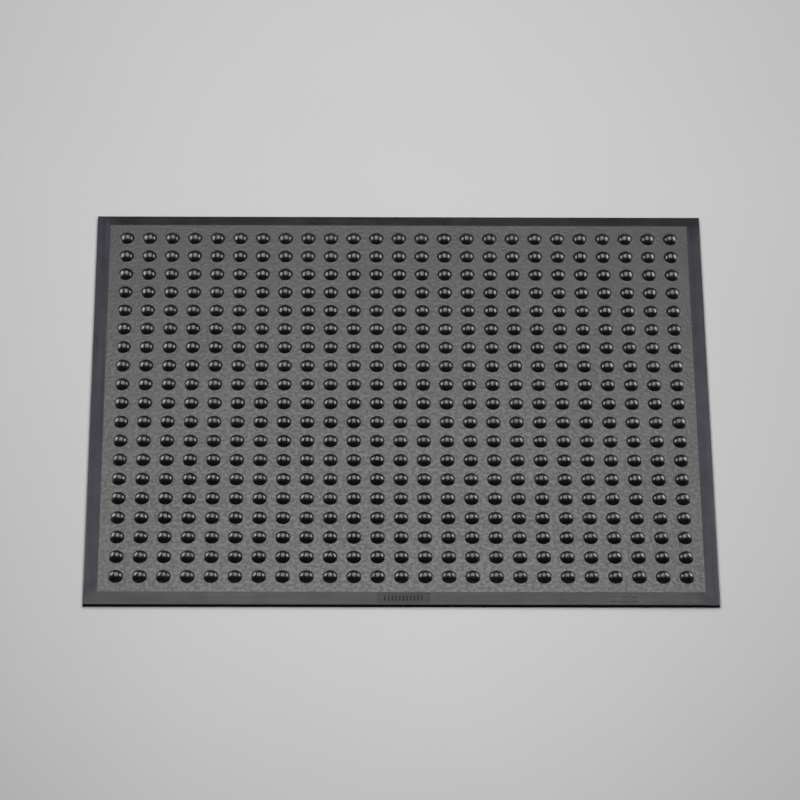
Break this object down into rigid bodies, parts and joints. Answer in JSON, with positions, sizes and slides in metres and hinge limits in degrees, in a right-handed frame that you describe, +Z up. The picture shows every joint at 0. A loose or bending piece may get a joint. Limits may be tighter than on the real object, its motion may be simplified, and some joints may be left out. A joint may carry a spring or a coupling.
{
  "type": "dome-top rubber floor mat",
  "caption": "Rectangular cushioned rubber floor mat with a grid of raised domes, a sloping border with mitred corners, an upright lip and a blank plate in the border.",
  "frame": {"origin": "middle of the mat's footprint, on the floor it lies on", "axes": "+X along the long side, +Y away from the edge that carries the plate, +Z up"},
  "size_m": [0.9, 0.6974, 0.0186],
  "materials": {
    "cover_rubber": "satin",
    "plate_rubber": "satin",
    "film": "matte",
    "foam": "matte",
    "base_rubber": "matte"
  },
  "bodies": {
    "root": {"top_cover": "cover_rubber", "name_plate": "plate_rubber", "sealing_film": "film", "cushion_core": "foam", "base_sheet": "base_rubber"}
  },
  "joints": []
}
